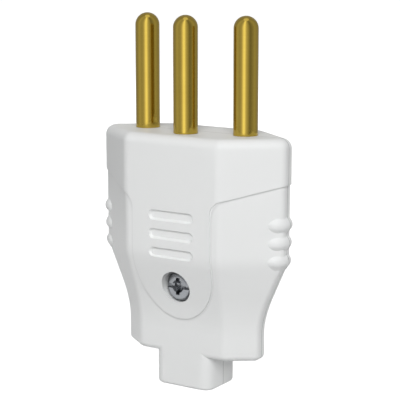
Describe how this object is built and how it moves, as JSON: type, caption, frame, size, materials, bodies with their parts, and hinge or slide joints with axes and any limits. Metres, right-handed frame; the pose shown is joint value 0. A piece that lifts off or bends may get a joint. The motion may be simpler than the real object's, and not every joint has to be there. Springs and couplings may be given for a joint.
{
  "type": "electrical plug",
  "caption": "Rewirable round-pin mains plug with two live pins, an offset earth pin, a clamshell housing and a flat-sided cable neck.",
  "frame": {"origin": "centre of the cable end, on the flat bottom of the neck", "axes": "+Z from the cable end up to the pin tips; X along the two live pins; the case screw is on the front, at -Y"},
  "size_m": [0.036, 0.0152, 0.0616],
  "materials": {
    "housing_white": "moulded satin gloss",
    "clamp_white": "moulded matt",
    "pin_brass": "turned, fine circular marks",
    "screw_zinc": "zinc plated"
  },
  "bodies": {
    "root": {"front_shell": "housing_white", "rear_shell": "housing_white", "cord_clamp": "clamp_white", "line_pin": "pin_brass", "neutral_pin": "pin_brass", "earth_pin": "pin_brass", "case_screw": "screw_zinc", "line_terminal_screw": "screw_zinc", "neutral_terminal_screw": "screw_zinc", "earth_terminal_screw": "screw_zinc", "clamp_screw_left": "screw_zinc", "clamp_screw_right": "screw_zinc"}
  },
  "joints": []
}
